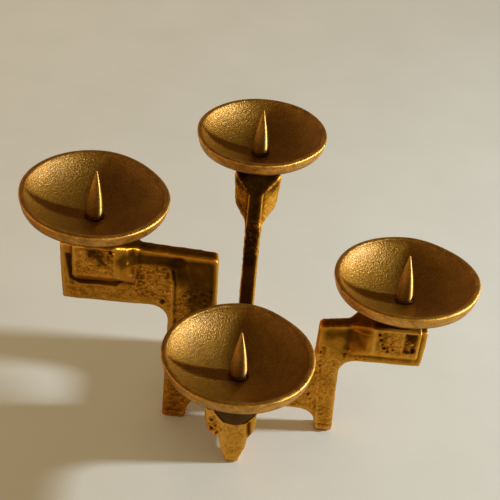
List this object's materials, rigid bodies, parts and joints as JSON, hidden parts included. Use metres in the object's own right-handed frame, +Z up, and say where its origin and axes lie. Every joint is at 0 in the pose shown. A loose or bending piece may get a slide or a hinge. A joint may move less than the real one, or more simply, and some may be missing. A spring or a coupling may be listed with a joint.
{
  "type": "advent candle holder",
  "caption": "Cast bronze candle holder: two plates crossed on edge, whose stepped arms carry shallow drip bowls with screw-in spikes at staggered heights.",
  "frame": {"origin": "on the table, at the middle of the footprint of the four bowls", "axes": "+X to the right arm, +Y to the rear arm, +Z up"},
  "size_m": [0.2688, 0.2532, 0.1804],
  "materials": {
    "cast_bronze": "rough sand-cast bronze with a brown patina, rubbed bright on its edges",
    "bowl_bronze": "satin bronze, finely pitted inside, rubbed on the lip",
    "spike_bronze": "smooth turned bronze",
    "dark_bronze": "darkened bronze",
    "screw_brass": "turned brass"
  },
  "bodies": {
    "stand": {"left_right_plate": "cast_bronze", "front_rear_plate": "cast_bronze", "crossing_screw": "screw_brass"},
    "left_bowl": {"bowl_left": "bowl_bronze"},
    "left_washer": {"washer_left": "dark_bronze"},
    "left_spike": {"spike_left": "spike_bronze"},
    "right_bowl": {"bowl_right": "bowl_bronze"},
    "right_washer": {"washer_right": "dark_bronze"},
    "right_spike": {"spike_right": "spike_bronze"},
    "front_bowl": {"bowl_front": "bowl_bronze"},
    "front_washer": {"washer_front": "dark_bronze"},
    "front_spike": {"spike_front": "spike_bronze"},
    "rear_bowl": {"bowl_rear": "bowl_bronze"},
    "rear_washer": {"washer_rear": "dark_bronze"},
    "rear_spike": {"spike_rear": "spike_bronze"}
  },
  "joints": [
    {"name": "left_bowl_lift", "type": "slide", "parent": "stand", "child": "left_bowl", "axis": [0.0523, -0.0262, 0.9983], "range_m": [0, 0.04]},
    {"name": "left_spike_turn", "type": "hinge", "parent": "left_bowl", "child": "left_washer", "pos_m": [-0.09274, -0.01496, 0.14939], "axis": [0.0523, -0.0262, 0.9983], "range_deg": [0, 3960]},
    {"name": "left_spike_rise", "type": "slide", "parent": "left_washer", "child": "left_spike", "axis": [0.0523, -0.0262, 0.9983], "range_m": [0, 0.011]},
    {"name": "right_bowl_lift", "type": "slide", "parent": "stand", "child": "right_bowl", "axis": [-0.0262, 0.0436, 0.9987], "range_m": [0, 0.04]},
    {"name": "right_spike_turn", "type": "hinge", "parent": "right_bowl", "child": "right_washer", "pos_m": [0.09231, -0.01411, 0.10889], "axis": [-0.0262, 0.0436, 0.9987], "range_deg": [0, 3960]},
    {"name": "right_spike_rise", "type": "slide", "parent": "right_washer", "child": "right_spike", "axis": [-0.0262, 0.0436, 0.9987], "range_m": [0, 0.011]},
    {"name": "front_bowl_lift", "type": "slide", "parent": "stand", "child": "front_bowl", "axis": [0, 0, 1], "range_m": [0, 0.04]},
    {"name": "front_spike_turn", "type": "hinge", "parent": "front_bowl", "child": "front_washer", "pos_m": [-0.00136, -0.08415, 0.09941], "axis": [0, 0, 1], "range_deg": [0, 3960]},
    {"name": "front_spike_rise", "type": "slide", "parent": "front_washer", "child": "front_spike", "axis": [0, 0, 1], "range_m": [0, 0.011]},
    {"name": "rear_bowl_lift", "type": "slide", "parent": "stand", "child": "rear_bowl", "axis": [0, 0, 1], "range_m": [0, 0.04]},
    {"name": "rear_spike_turn", "type": "hinge", "parent": "rear_bowl", "child": "rear_washer", "pos_m": [-0.00136, 0.08535, 0.13943], "axis": [0, 0, 1], "range_deg": [0, 3960]},
    {"name": "rear_spike_rise", "type": "slide", "parent": "rear_washer", "child": "rear_spike", "axis": [0, 0, 1], "range_m": [0, 0.011]}
  ],
  "couplings": [
    {"joint": "left_spike_turn", "follows": "left_spike_rise", "rad_per_m": 6283.2},
    {"joint": "right_spike_turn", "follows": "right_spike_rise", "rad_per_m": 6283.2},
    {"joint": "front_spike_turn", "follows": "front_spike_rise", "rad_per_m": 6283.2},
    {"joint": "rear_spike_turn", "follows": "rear_spike_rise", "rad_per_m": 6283.2}
  ]
}
